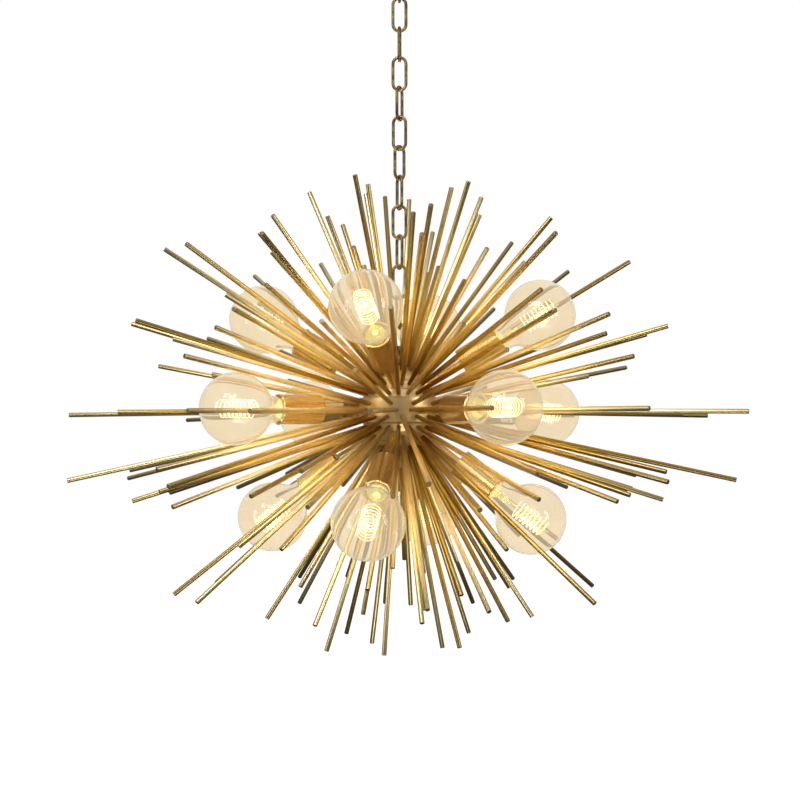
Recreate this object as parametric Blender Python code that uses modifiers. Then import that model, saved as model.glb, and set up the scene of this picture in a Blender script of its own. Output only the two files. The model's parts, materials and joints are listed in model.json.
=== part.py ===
"""Starburst chandelier: a stack of drilled hub rings carries straight brass rods in every
direction, and twelve lamp cups on short arms. It hangs on an oval-link chain from a ceiling canopy.

Metres, +Z up. The origin is the middle of the mounting plate's top face, at the ceiling.
Azimuths turn from -Y (the front) towards +X.
"""

import math
import random

import bmesh
import bpy
from mathutils import Matrix, Vector

# ---- driving dimensions ----------------------------------------------------------------
GAP = 0.0003            # left between pieces that touch
MERGE = 0.00005         # merge distance of the turned shapes
STEPS = 12              # sides of a small turned shape
BIG_STEPS = 24          # sides of a hub ring or the canopy

HUB_Z = -0.640          # hub centre under the ceiling

# hub: a drum with two rings and a crown above it, and the same below
DRUM_R, DRUM_HALF = 0.056, 0.017
RING_1 = (0.0173, 0.0283)
RING_2 = (0.0286, 0.0400)
CROWN = (0.0403, 0.0615)
DRUM_BORE_R, DRUM_EDGE = 0.038, 0.002
RING_1_BORE_R, RING_1_TOP_R, RING_1_LOW_R = 0.033, 0.0455, 0.050
RING_2_BORE_R, RING_2_TOP_R, RING_2_LOW_R = 0.026, 0.036, 0.044
CROWN_DOME = (          # radius, height over the hub centre
    (0.009, CROWN[1]), (0.0155, 0.0580), (0.0245, 0.0525), (0.032, 0.0455), (0.035, CROWN[0]))
STEM_R, STEM_BORE_R = 0.0050, 0.0054
STEM_BELOW = 0.011      # the stem's length below the lower crown
FINIAL_BORE_DEPTH = 0.0125
FINIAL_DOME = (         # radius, depth under the lower crown
    (0.0075, 0.0), (0.0075, 0.0100), (0.0058, 0.0145), (0.0030, 0.0170), (0, 0.0175))

# rods
ROD_R = 0.00315
ROD_SIDES = 6
ROD_SEAT = 0.008        # length of a rod inside its hub ring
ROD_SPACE = 0.0007      # least space between two rods
LAMP_SPACE = 0.0016     # least space between a rod and a lamp
SIDESTEPS = (0, 1.5, -1.5, 3, -3, 4.5, -4.5, 6, -6, 7.5, -7.5)

# One row of rods each: hub part, slope up, how many, first azimuth (degrees),
# reach of the long and the short rods from the hub centre, and the radius and height of their roots.
ROD_ROWS = (
    ("hub_drum", 10.5, 11, 52.6, 0.370, 0.262, 0.056, 0.009),
    ("hub_drum", -0.5, 19, 357.0, 0.465, 0.383, 0.056, 0.000),
    ("hub_drum", -12.0, 18, 4.0, 0.460, 0.390, 0.056, -0.009),
    ("upper_rod_ring_1", 16.0, 23, 44.8, 0.385, 0.324, 0.048, 0.023),
    ("upper_rod_ring_2", 31.5, 23, 300.6, 0.385, 0.283, 0.040, 0.036),
    ("upper_rod_crown", 47.5, 12, 10.8, 0.328, 0.272, 0.029, 0.049),
    ("upper_rod_crown", 66.5, 10, 333.6, 0.331, 0.282, 0.020, 0.0545),
    ("upper_rod_crown", 75.5, 7, 222.0, 0.310, 0.200, 0.0115, 0.060),
    ("lower_rod_ring_1", -17.0, 22, 48.5, 0.380, 0.347, 0.048, -0.023),
    ("lower_rod_ring_2", -38.0, 23, 20.9, 0.395, 0.284, 0.040, -0.036),
    ("lower_rod_crown", -56.5, 16, 278.0, 0.331, 0.281, 0.029, -0.049),
    ("lower_rod_crown", -68.5, 8, 309.0, 0.336, 0.225, 0.020, -0.0545),
    ("lower_rod_crown", -79.5, 6, 341.0, 0.326, 0.278, 0.0115, -0.060),
)

# lamps: tier, first azimuth, height where the arm's line meets the hub's axis,
# and the globe centre's radius and height
LAMP_TIERS = (
    ("upper", -12.6, 0.012, 0.193, 0.127),
    ("middle", 31.9, 0.000, 0.248, 0.000),
    ("lower", -12.6, -0.006, 0.180, -0.146),
)
LAMPS_PER_TIER = 4
ARM_R, ARM_BORE_R, ARM_HOLE_R = 0.0050, 0.0030, 0.0053
ARM_ROOT_R = {"upper": 0.0375, "middle": 0.048, "lower": 0.0375}
SEAT_LENGTH = 0.030     # of the hole an arm stands in
CUP_R, CUP_LIP_R, CUP_WALL, CUP_LENGTH = 0.0195, 0.0205, 0.0012, 0.062
LIP_HEIGHT, LIP_SLOPE = 0.0018, 0.0008
HOLDER_WALL = 0.0022
CAP_ABOVE_HOLDER = 0.003
GLOBE_R = 0.0475
GLOBE_TO_MOUTH = 0.061  # from the globe's centre back to the cup's mouth
BULB_LENGTH = 0.139
GLASS_WALL = 0.0012
GLOBE_ANGLES = (0, 28, 56, 84, 112, 138)    # from the globe's far end, degrees
GLOBE_INNER_ANGLES = (137, 100, 60, 0)
NECK = ((0.0190, 0.014), (0.0165, 0.003))   # radius, height over the cap
NECK_INSIDE = (0.0178, 0.0145)
CAP_R, CAP_LENGTH = 0.0131, 0.027
CAP_TAPER, CAP_END_R, CAP_END_BORE_R = 0.006, 0.0070, 0.0055

# chain
LINK_COUNT = 11
LINK_WIRE_R, LINK_HALF_WIDTH, LINK_INNER = 0.0021, 0.0110, 0.0410
LINK_PITCH = LINK_INNER - GAP
FIRST_LINK_Z = -0.0979  # centre of the top link
LINK_TURNS = (0, 86, 0, 67, -18, 46, -69, 5, -67, 15, 90)  # about the vertical, degrees
EYE_WIRE_R = 0.0020     # canopy eye
EYE_HALF_WIDTH = 0.0110
EYE_SUNK = 0.0030       # how far the eye's wire runs into its collar
HUB_EYE_WIRE_R = 0.0025
HUB_EYE_HALF_WIDTH = 0.0120
HUB_EYE_TURN = 8
HUB_EYE_FOOT = 0.0215   # the eye's low point over the upper crown
EYE_SHOULDER = (        # radius, height over the upper crown
    (0.0045, 0.026), (0.0062, 0.022), (0.0062, 0.005), (0.0080, 0.004), (0.0080, 0.0))

# ceiling fitting
PLATE_R, PLATE_THICK = 0.055, 0.003
SCREW_SPACING, SLOT_WIDTH, SLOT_LENGTH = 0.089, 0.005, 0.014
BOSS_R, BOSS_DROP, BOSS_BORE_R, BOSS_FLOOR = 0.009, 0.015, 0.0053, 0.0045
NIPPLE_TOP = 0.0050     # under the ceiling
COLLAR_R, COLLAR_END, COLLAR_EDGE = 0.0118, 0.0455, 0.0015
COLLAR_END_R = 0.0100
CANOPY_R, CANOPY_DEPTH, CANOPY_WALL, CANOPY_HOLE_R = 0.065, 0.0335, 0.0012, 0.0135
CANOPY_RIM = 0.008      # height of the upright rim
CANOPY_DISH = (         # radius, depth under the ceiling
    (0.0620, 0.0160), (0.0540, 0.0235), (0.0400, 0.0295), (0.0230, CANOPY_DEPTH))
CANOPY_FLAT_R = 0.0226  # where the dish's flat bottom ends, inside
LOCK_RING_R, LOCK_RING_BORE_R = 0.0185, 0.0123
LOCK_RING_HEIGHT, LOCK_RING_EDGE = 0.008, 0.001

BRASS = (0.72, 0.50, 0.21)
OLD_BRASS = (0.42, 0.33, 0.17)


# ---- helpers ---------------------------------------------------------------------------
def clear_scene():
    for item in list(bpy.data.objects):
        bpy.data.objects.remove(item)


def new_collection(name):
    group = bpy.data.collections.new(name)
    bpy.context.scene.collection.children.link(group)
    return group


def material(name, colour, roughness, metallic, alpha=1.0):
    made = bpy.data.materials.new(name)
    made.use_nodes = True
    shader = made.node_tree.nodes["Principled BSDF"]
    shader.inputs["Base Color"].default_value = (*colour, 1.0)
    shader.inputs["Roughness"].default_value = roughness
    shader.inputs["Metallic"].default_value = metallic
    shader.inputs["Alpha"].default_value = alpha
    return made


def add_object(name, data, group, look=None):
    made = bpy.data.objects.new(name, data)
    group.objects.link(made)
    if look:
        data.materials.append(look)
    return made


def add_cutter(name, data):
    made = add_object(name, data, CUTTERS)
    made.hide_render = True
    made.display_type = "WIRE"
    return made


def direction(azimuth, slope=0.0):
    """Unit vector at an azimuth from the front (-Y) towards +X, tilted up by slope, in degrees."""
    a, s = math.radians(azimuth), math.radians(slope)
    return Vector((math.sin(a) * math.cos(s), -math.cos(a) * math.cos(s), math.sin(s)))


def along(start, way):
    """Matrix that stands local +Z along way, with its origin at start."""
    return Matrix.Translation(start) @ way.to_track_quat("Z", "Y").to_matrix().to_4x4()


def turned(name, profile, look, steps=STEPS, closed=True):
    """A profile of (radius, height) points turned about Z, listed down its outer side."""
    mesh = bpy.data.meshes.new(name)
    shape = bmesh.new()
    rim = [shape.verts.new((r, 0, z)) for r, z in profile]
    for a, b in zip(rim, rim[1:]):
        shape.edges.new((a, b))
    if closed:
        shape.edges.new((rim[-1], rim[0]))
    shape.to_mesh(mesh)
    shape.free()
    made = add_object(name, mesh, PARTS, look)
    turn = made.modifiers.new("turn", "SCREW")
    turn.steps = turn.render_steps = steps
    turn.use_merge_vertices = True
    turn.merge_threshold = MERGE
    return made


def rounds_mesh(name, rounds, sides):
    """One mesh of closed cylinders, each given as (start, end, radius)."""
    shape = bmesh.new()
    for start, end, radius in rounds:
        way = end - start
        place = along((start + end) / 2, way)
        bmesh.ops.create_cone(
            shape, cap_ends=True, segments=sides, radius1=radius, radius2=radius,
            depth=way.length, matrix=place)
    mesh = bpy.data.meshes.new(name)
    shape.to_mesh(mesh)
    shape.free()
    return mesh


def boolean(target, operand, operation):
    step = target.modifiers.new(operand.name, "BOOLEAN")
    step.object = operand
    step.operation = operation
    step.solver = "EXACT"


def oval(name, wire, half_width, half_height, turn, centre, bends=6):
    """A closed wire oval standing upright: two straight legs and two round ends."""
    path = bpy.data.curves.new(name, "CURVE")
    path.dimensions = "3D"
    path.bevel_depth = wire
    path.bevel_resolution = 1
    path.resolution_u = 1
    path.render_resolution_u = 0
    bend = half_width - wire
    straight = half_height - half_width
    spots = []
    for end in (1, -1):
        for i in range(bends + 1):
            a = math.pi * i / bends
            spots.append((end * bend * math.cos(a), end * (straight + bend * math.sin(a))))
    line = path.splines.new("POLY")
    line.points.add(len(spots) - 1)
    facing = Matrix.Rotation(math.radians(turn), 3, "Z")
    for point, (x, z) in zip(line.points, spots):
        point.co = (*(facing @ Vector((x, 0, z))), 1)
    line.use_cyclic_u = True
    made = bpy.data.objects.new(name, path)
    made.location = centre
    return made


def as_mesh(curve_object):
    """The evaluated mesh of a curve object that isn't a part itself."""
    PARTS.objects.link(curve_object)
    bpy.context.view_layer.update()
    seen = curve_object.evaluated_get(bpy.context.evaluated_depsgraph_get())
    mesh = bpy.data.meshes.new_from_object(seen)
    mesh.transform(curve_object.matrix_world)
    bpy.data.objects.remove(curve_object)
    return mesh


def segments_gap(a0, a1, b0, b1):
    """Least distance between two straight segments."""
    u, v, w = a1 - a0, b1 - b0, a0 - b0
    a, b, c, d, e = u.dot(u), u.dot(v), v.dot(v), u.dot(w), v.dot(w)
    spread = a * c - b * b
    s = 0.0 if spread < 1e-12 else min(max((b * e - c * d) / spread, 0.0), 1.0)
    t = min(max((b * s + e) / c, 0.0), 1.0)
    s = min(max((b * t - d) / a, 0.0), 1.0)
    return (w + u * s - v * t).length


# ---- lamps -----------------------------------------------------------------------------
class Lamp:
    """Where one lamp's axis runs, with the places of its cup and globe along it."""

    def __init__(self, tier, number, azimuth, axis_z, globe_r, globe_z):
        self.tier = tier
        self.label = f"{tier}_{number}"
        self.foot = Vector((0, 0, HUB_Z + axis_z))
        slope = math.degrees(math.atan2(globe_z - axis_z, globe_r))
        self.way = direction(azimuth, slope)
        self.globe = math.hypot(globe_r, globe_z - axis_z)
        self.mouth = self.globe - GLOBE_TO_MOUTH
        self.base = self.mouth - CUP_LENGTH
        self.root = ARM_ROOT_R[tier] / math.cos(math.radians(slope))
        self.frame = along(self.foot, self.way)

    def at(self, distance):
        return self.foot + self.way * distance


def all_lamps():
    return [
        Lamp(tier, k + 1, first + 360 / LAMPS_PER_TIER * k, axis_z, globe_r, globe_z)
        for tier, first, axis_z, globe_r, globe_z in LAMP_TIERS
        for k in range(LAMPS_PER_TIER)
    ]


def lamp_cup(lamp):
    """Arm tube and cup in one turned piece, open from the hub to the mouth."""
    base, mouth = lamp.base, lamp.mouth
    profile = (
        (CUP_LIP_R, mouth), (CUP_LIP_R, mouth - LIP_HEIGHT),
        (CUP_R, mouth - LIP_HEIGHT - LIP_SLOPE), (CUP_R, base + CUP_WALL),
        (CUP_R - CUP_WALL, base), (ARM_R, base), (ARM_R, lamp.root),
        (ARM_BORE_R, lamp.root), (ARM_BORE_R, base + CUP_WALL),
        (CUP_R - CUP_WALL, base + CUP_WALL), (CUP_R - CUP_WALL, mouth))
    made = turned(f"lamp_cup_{lamp.label}", profile, CUP_LOOK)
    made.matrix_world = lamp.frame


def lampholder(lamp):
    """Screw lampholder: an insulating body with a socket for the lamp cap."""
    floor = lamp.globe + GLOBE_R - BULB_LENGTH - GAP
    bottom = lamp.base + CUP_WALL + GAP
    top = floor + CAP_LENGTH - CAP_ABOVE_HOLDER
    socket = CAP_R + GAP
    profile = (
        (0, floor), (socket, floor), (socket, top), (socket + HOLDER_WALL, top),
        (socket + HOLDER_WALL, bottom), (0, bottom))
    made = turned(f"lampholder_{lamp.label}", profile, HOLDER_LOOK, closed=False)
    made.matrix_world = lamp.frame


def globe_bulb(lamp):
    """Globe lamp: glass envelope and screw cap, hollow and open at the cap's contact end."""
    neck = lamp.globe + GLOBE_R - BULB_LENGTH + CAP_LENGTH
    end = neck - CAP_LENGTH

    def arc(radius, angles):
        return [
            (radius * math.sin(math.radians(a)), lamp.globe + radius * math.cos(math.radians(a)))
            for a in angles]

    outside = arc(GLOBE_R, GLOBE_ANGLES)
    outside += [*((r, neck + z) for r, z in NECK), (CAP_R, neck)]
    outside += [(CAP_R, end + CAP_TAPER), (CAP_END_R, end)]
    bore = CAP_R - GLASS_WALL
    inside = [(CAP_END_BORE_R, end), (bore, end + CAP_TAPER + 0.0008)]
    inside += [(bore, neck + 0.0005), (NECK_INSIDE[0], neck + NECK_INSIDE[1])]
    inside += arc(GLOBE_R - GLASS_WALL, GLOBE_INNER_ANGLES)
    made = turned(f"bulb_{lamp.label}", outside + inside, GLASS_LOOK, closed=False)
    made.matrix_world = lamp.frame


# ---- hub and rods ----------------------------------------------------------------------
def lamp_is_clear(start, end, lamp):
    """Whether a rod from start to end stays clear of a lamp's arm, cup and globe."""
    margin = ROD_R + LAMP_SPACE
    arm = segments_gap(start, end, lamp.at(lamp.root), lamp.at(lamp.base))
    cup = segments_gap(start, end, lamp.at(lamp.base), lamp.at(lamp.mouth))
    centre = lamp.at(lamp.globe)
    globe = segments_gap(start, end, centre, centre + lamp.way * 0.0001)
    return (arm > ARM_HOLE_R + margin / 2 and cup > CUP_LIP_R + margin
            and globe > GLOBE_R + margin)


def place_rods(lamps):
    """{hub part: [(start, end)]}: every row's rods, sidestepping lamps and other rods."""
    chance = random.Random(7)
    placed, by_part = [], {}
    for part, slope, count, first, long_reach, short_reach, root_r, root_z in ROD_ROWS:
        for i in range(count):
            azimuth = first + 360 * i / count + chance.uniform(-1.2, 1.2)
            lean = slope + chance.uniform(-0.8, 0.8)
            reach = (long_reach, short_reach)[i % 2] + chance.uniform(-0.006, 0.006)
            for sidestep in SIDESTEPS:
                way = direction(azimuth + sidestep, lean)
                root = direction(azimuth + sidestep) * root_r + Vector((0, 0, root_z))
                run = -root.dot(way) + math.sqrt(
                    root.dot(way) ** 2 - root.length_squared + reach ** 2)
                start = root - way * ROD_SEAT + Vector((0, 0, HUB_Z))
                end = root + way * run + Vector((0, 0, HUB_Z))
                free = all(
                    segments_gap(start, end, *other) > 2 * ROD_R + ROD_SPACE
                    for other in placed)
                if free and all(lamp_is_clear(start, end, lamp) for lamp in lamps):
                    placed.append((start, end))
                    by_part.setdefault(part, []).append((start, end))
                    break
    return by_part


def hub_part(name, profile, rods, holes=()):
    """A turned hub ring with seats for the arms, joined with the rods brazed into it."""
    made = turned(name, [(r, HUB_Z + z) for r, z in profile], ROD_LOOK, BIG_STEPS)
    if holes:
        seats = [(p.at(p.root - GAP), p.at(p.root + SEAT_LENGTH), ARM_HOLE_R) for p in holes]
        boolean(made, add_cutter(f"{name}_seats", rounds_mesh(name, seats, STEPS)), "DIFFERENCE")
    bars = [(start, end, ROD_R) for start, end in rods]
    boolean(made, add_cutter(f"{name}_rods", rounds_mesh(name, bars, ROD_SIDES)), "UNION")


def hub(lamps, rods):
    drum = (
        (DRUM_R - DRUM_EDGE, DRUM_HALF), (DRUM_R, DRUM_HALF - DRUM_EDGE),
        (DRUM_R, DRUM_EDGE - DRUM_HALF), (DRUM_R - DRUM_EDGE, -DRUM_HALF),
        (DRUM_BORE_R, -DRUM_HALF), (DRUM_BORE_R, DRUM_HALF))
    hub_part("hub_drum", drum, rods["hub_drum"], [p for p in lamps if p.tier == "middle"])
    ring_1 = (
        (RING_1_TOP_R, RING_1[1]), (RING_1_LOW_R, RING_1[0]),
        (RING_1_BORE_R, RING_1[0]), (RING_1_BORE_R, RING_1[1]))
    ring_2 = (
        (RING_2_TOP_R, RING_2[1]), (RING_2_LOW_R, RING_2[0]),
        (RING_2_BORE_R, RING_2[0]), (RING_2_BORE_R, RING_2[1]))
    crown = (*CROWN_DOME, (STEM_BORE_R, CROWN[0]), (STEM_BORE_R, CROWN[1]))
    for side, sign in (("upper", 1), ("lower", -1)):
        arms = [lamp for lamp in lamps if lamp.tier == side]
        for kind, profile, holes in (
                ("rod_ring_1", ring_1, ()), ("rod_ring_2", ring_2, arms), ("rod_crown", crown, ())):
            name = f"{side}_{kind}"
            shape = [(r, sign * z) for r, z in profile]
            hub_part(name, shape if sign > 0 else shape[::-1], rods[name], holes)


def hub_loop():
    """Eye, shoulder and the long threaded stem that clamps the hub's rings together."""
    top = HUB_Z + CROWN[1] + GAP
    bottom = HUB_Z - CROWN[1] - STEM_BELOW
    profile = [(r, top + z) for r, z in EYE_SHOULDER]
    profile = [(0, profile[0][1]), *profile, (STEM_R, top), (STEM_R, bottom), (0, bottom)]
    made = turned("hub_loop", profile, CHAIN_LOOK, closed=False)
    last_z = FIRST_LINK_Z - LINK_PITCH * (LINK_COUNT - 1)
    eye_top = last_z - LINK_INNER / 2 + GAP + 2 * HUB_EYE_WIRE_R
    half = (eye_top - (top + HUB_EYE_FOOT)) / 2
    centre = (0, 0, eye_top - half)
    ring = oval("hub_eye", HUB_EYE_WIRE_R, HUB_EYE_HALF_WIDTH, half, HUB_EYE_TURN, centre)
    boolean(made, add_cutter("hub_eye", as_mesh(ring)), "UNION")


def finial_nut():
    """Domed cap nut that closes the hub from below."""
    top = HUB_Z - CROWN[1] - GAP
    bore_end = top - FINIAL_BORE_DEPTH
    profile = [(0, bore_end), (STEM_BORE_R, bore_end), (STEM_BORE_R, top)]
    profile += [(r, top - depth) for r, depth in FINIAL_DOME]
    turned("finial_nut", profile, ROD_LOOK, closed=False)


# ---- chain and ceiling fitting ---------------------------------------------------------
def chain():
    for i in range(LINK_COUNT):
        centre = (0, 0, FIRST_LINK_Z - LINK_PITCH * i)
        name = f"chain_link_{i + 1:02d}"
        link = oval(name, LINK_WIRE_R, LINK_HALF_WIDTH, LINK_INNER / 2 + 2 * LINK_WIRE_R,
                    LINK_TURNS[i], centre)
        PARTS.objects.link(link)
        link.data.materials.append(CHAIN_LOOK)


def mounting_plate():
    """Round plate screwed to the ceiling box, with a threaded boss for the loop."""
    profile = (
        (0, 0), (PLATE_R, 0), (PLATE_R, -PLATE_THICK), (BOSS_R, -PLATE_THICK),
        (BOSS_R, -BOSS_DROP), (BOSS_BORE_R, -BOSS_DROP), (BOSS_BORE_R, -BOSS_FLOOR),
        (0, -BOSS_FLOOR))
    made = turned("mounting_plate", profile, STEEL_LOOK, BIG_STEPS, closed=False)
    shape = bmesh.new()
    for side in (-1, 1):
        size = Matrix.Diagonal((SLOT_LENGTH, SLOT_WIDTH, 0.02, 1))
        bmesh.ops.create_cube(
            shape, size=1, matrix=Matrix.Translation((side * SCREW_SPACING / 2, 0, 0)) @ size)
    mesh = bpy.data.meshes.new("plate_slots")
    shape.to_mesh(mesh)
    shape.free()
    boolean(made, add_cutter("plate_slots", mesh), "DIFFERENCE")


def canopy_shell():
    """Shallow dished cover, open at the ceiling, with a centre hole for the loop."""
    dish = [(CANOPY_R, -CANOPY_RIM), *((r, -depth) for r, depth in CANOPY_DISH)]
    outside = [(CANOPY_R, -GAP), *dish, (CANOPY_HOLE_R, -CANOPY_DEPTH)]
    step = CANOPY_WALL * 0.7    # the wall's share along each axis on the slope
    inside = [(r - step, z + step) for r, z in dish[:-1]]
    inside = [(CANOPY_R - CANOPY_WALL, -GAP), *inside]
    floor = CANOPY_WALL - CANOPY_DEPTH
    inside += [(CANOPY_FLAT_R, floor), (CANOPY_HOLE_R, floor)]
    turned("canopy_shell", [*outside, *inside[::-1]], CANOPY_LOOK, BIG_STEPS)


def canopy_loop():
    """Threaded nipple, screw collar and eye: the chain's top fixing."""
    collar_top, collar_end = -BOSS_DROP - GAP, -COLLAR_END
    profile = (
        (0, -NIPPLE_TOP), (STEM_R, -NIPPLE_TOP), (STEM_R, collar_top), (COLLAR_R, collar_top),
        (COLLAR_R, collar_end + COLLAR_EDGE), (COLLAR_END_R, collar_end), (0, collar_end))
    made = turned("canopy_loop", profile, CHAIN_LOOK, closed=False)
    eye_low = FIRST_LINK_Z + LINK_INNER / 2 - GAP - 2 * EYE_WIRE_R
    half = (collar_end + EYE_SUNK - eye_low) / 2
    ring = oval("canopy_eye", EYE_WIRE_R, EYE_HALF_WIDTH, half, 90, (0, 0, eye_low + half))
    boolean(made, add_cutter("canopy_eye", as_mesh(ring)), "UNION")


def canopy_lock_ring():
    """Ring that screws up the loop's collar and holds the canopy."""
    top = -CANOPY_DEPTH - GAP
    low = top - LOCK_RING_HEIGHT
    edge_r = LOCK_RING_R - LOCK_RING_EDGE
    profile = (
        (edge_r, top), (LOCK_RING_R, top - LOCK_RING_EDGE), (LOCK_RING_R, low + LOCK_RING_EDGE),
        (edge_r, low), (LOCK_RING_BORE_R, low), (LOCK_RING_BORE_R, top))
    turned("canopy_lock_ring", profile, CANOPY_LOOK, BIG_STEPS)


clear_scene()
PARTS = new_collection("starburst_chandelier")
CUTTERS = new_collection("cutters")
ROD_LOOK = material("brushed_brass", BRASS, 0.32, 1.0)
CUP_LOOK = material("satin_brass", BRASS, 0.28, 1.0)
CANOPY_LOOK = material("canopy_brass", BRASS, 0.30, 1.0)
CHAIN_LOOK = material("antique_brass", OLD_BRASS, 0.42, 1.0)
STEEL_LOOK = material("zinc_steel", (0.60, 0.61, 0.62), 0.45, 1.0)
HOLDER_LOOK = material("porcelain", (0.86, 0.84, 0.78), 0.35, 0.0)
GLASS_LOOK = material("amber_glass", (0.98, 0.88, 0.66), 0.05, 0.0, 0.35)

LAMPS = all_lamps()
mounting_plate()
canopy_shell()
canopy_lock_ring()
canopy_loop()
chain()
hub_loop()
hub(LAMPS, place_rods(LAMPS))
finial_nut()
for each in LAMPS:
    lamp_cup(each)
    lampholder(each)
    globe_bulb(each)
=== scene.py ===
"""Looks for the starburst chandelier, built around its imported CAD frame: fine round rods, turned hub
rings, cups with a rolled lip, glass globe lamps with a glowing spiral filament, a wire-link chain and
the ceiling fitting. Where each piece goes is read from the frame.

Metres, +Z up. The origin is at the ceiling, and -Y is the front.
"""

import json
import math
import random

import bmesh
import bpy
from mathutils import Matrix, Vector


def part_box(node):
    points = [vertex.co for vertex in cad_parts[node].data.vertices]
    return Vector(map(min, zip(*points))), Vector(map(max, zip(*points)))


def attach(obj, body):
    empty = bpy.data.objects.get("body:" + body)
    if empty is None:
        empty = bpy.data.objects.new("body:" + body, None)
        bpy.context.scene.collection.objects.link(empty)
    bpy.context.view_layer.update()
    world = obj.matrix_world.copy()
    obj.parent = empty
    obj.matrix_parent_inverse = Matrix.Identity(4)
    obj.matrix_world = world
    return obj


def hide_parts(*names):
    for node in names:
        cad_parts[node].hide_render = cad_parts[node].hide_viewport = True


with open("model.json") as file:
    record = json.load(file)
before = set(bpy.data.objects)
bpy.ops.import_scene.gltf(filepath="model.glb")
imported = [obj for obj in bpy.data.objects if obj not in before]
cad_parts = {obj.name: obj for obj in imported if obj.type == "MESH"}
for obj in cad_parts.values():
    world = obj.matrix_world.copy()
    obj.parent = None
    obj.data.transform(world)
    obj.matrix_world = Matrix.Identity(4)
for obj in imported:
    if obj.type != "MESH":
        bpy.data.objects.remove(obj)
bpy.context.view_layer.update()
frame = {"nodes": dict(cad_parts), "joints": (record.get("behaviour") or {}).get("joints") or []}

# ---- sizes shared with the CAD ---------------------------------------------------------
GAP = 0.0003            # left between pieces that touch
HUB_Z = -0.640          # hub centre under the ceiling
DRUM_BORE_R, DRUM_R, DRUM_HALF = 0.038, 0.056, 0.017
RING_1 = (0.0173, 0.0283)           # nearest and furthest face of each from the hub centre
RING_2 = (0.0286, 0.0400)
CROWN = (0.0403, 0.0615)
RING_1_R = (0.033, 0.050, 0.0455)   # bore, near face and far face
RING_2_R = (0.026, 0.044, 0.036)
CROWN_DOME = (
    (0.009, CROWN[1]), (0.0155, 0.0580), (0.0245, 0.0525), (0.032, 0.0455), (0.035, CROWN[0]))
FINIAL_OUTLINE = (      # radius, and distance under the crown
    (0.0075, 0), (0.0075, 0.0020), (0.0068, 0.0028), (0.0075, 0.0036), (0.0075, 0.0095),
    (0.0060, 0.0140), (0.0032, 0.0168), (0, 0.0175))
FINIAL_BORE = 0.0125
STEM_R, STEM_BORE_R = 0.0050, 0.0054
ROD_R = 0.00315
TIP_REACH = 0.15        # every rod ends further than this from the hub centre

ARM_R, ARM_BORE_R = 0.0050, 0.0030
CUP_R, CUP_WALL, CUP_LENGTH = 0.0195, 0.0012, 0.062
LIP_R, LIP_BEAD_R = 0.0205, 0.0011
HOLDER_WALL, HOLDER_RIM = 0.0014, 0.0022
GLOBE_R = 0.0475
GLOBE_Z = 0.061         # globe centre beyond the cup's mouth
GLOBE_END = -48         # degrees round the globe where its neck begins
NECK_R = 0.0171
BULB_LENGTH = 0.139
CAP_R, CAP_LENGTH = 0.0131, 0.027

LINK_COUNT = 11
LINK_WIRE_R, LINK_HALF_WIDTH, LINK_INNER = 0.0021, 0.0110, 0.0410
LINK_HALF_HEIGHT = LINK_INNER / 2 + 2 * LINK_WIRE_R
EYE_WIRE_R, EYE_HALF_WIDTH = 0.0020, 0.0110
HUB_EYE_WIRE_R, HUB_EYE_HALF_WIDTH = 0.0025, 0.0120
NIPPLE_TOP = -0.0050
COLLAR_R, COLLAR_END_R, COLLAR_END = 0.0118, 0.0100, -0.0455
SHOULDER_TOP = 0.030    # over the crown, only the hub eye's wire stands higher
PLATE_R, PLATE_THICK = 0.055, 0.003
SCREW_SPACING, SLOT_WIDTH, SLOT_LENGTH = 0.089, 0.005, 0.014
BOSS_R, BOSS_DROP, BOSS_BORE_R, BOSS_FLOOR = 0.009, 0.015, 0.0053, 0.0045
CANOPY_R, CANOPY_DEPTH, CANOPY_WALL, CANOPY_HOLE_R = 0.065, 0.0335, 0.0012, 0.0135

# ---- sizes of the fine detail ----------------------------------------------------------
ROUND_STEPS = 64        # sides of a turned piece
ROD_STEPS = 20
ROD_EDGE = 0.0006       # eased edge of a rod's end
WIRE_STEPS = 16
GLASS_THICK = 0.0008
THREAD_SPACING, THREAD_DEPTH, THREAD_TURNS = 0.0027, 0.0007, 6
COIL_R, COIL_WIRE_R, COIL_TURNS = 0.0118, 0.00045, 8.5
COIL_LOW, COIL_HIGH = 0.035, 0.084      # beyond the cup's mouth
PRESS = 0.024           # where the wires leave the glass stem, beyond the cup's mouth
LEAD_WIRE_R, LEAD_APART, HOOK_WIRE_R = 0.0003, 0.0022, 0.00018
KNURLS, KNURL_DEPTH = 48, 0.0003

# ---- camera ----------------------------------------------------------------------------
CAMERA_PLACE = (0.0007, -2.407, -0.6836)
CAMERA_LENS, CAMERA_SENSOR = 79.56, 36.0
CAMERA_PITCH = 1.383    # degrees up

# ---- light and floor -------------------------------------------------------------------
LAMP_WATTS = 0.75
LAMP_COLOUR = (1.0, 0.84, 0.56)
STUDIO_STOPS = (        # from straight down to straight up
    (0.0, (0.10, 0.10, 0.10)), (0.45, (0.14, 0.14, 0.14)), (0.62, (0.25, 0.25, 0.25)),
    (1.0, (0.95, 0.96, 0.98)))
SOFTBOXES = (           # name, place, width, height, watts
    ("key", (-0.9, -2.3, 1.2), 2.0, 0.8, 52.0),
    ("side", (-2.6, -1.6, -0.5), 0.6, 1.6, 18.0),
    ("fill", (2.4, -1.9, -0.1), 0.6, 1.4, 24.0),
    ("low", (0.2, -2.3, -2.5), 1.6, 0.6, 17.0))
FLOOR_Z, FLOOR_R = -4.5, 80.0

CHANCE = random.Random(11)


# ---- node helpers ----------------------------------------------------------------------
def new_material(name, colour, roughness, metallic=0.0):
    made = bpy.data.materials.new(name)
    made.use_nodes = True
    shader = made.node_tree.nodes["Principled BSDF"]
    shader.inputs["Base Color"].default_value = (*colour, 1.0)
    shader.inputs["Roughness"].default_value = roughness
    shader.inputs["Metallic"].default_value = metallic
    return made, made.node_tree, shader


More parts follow.
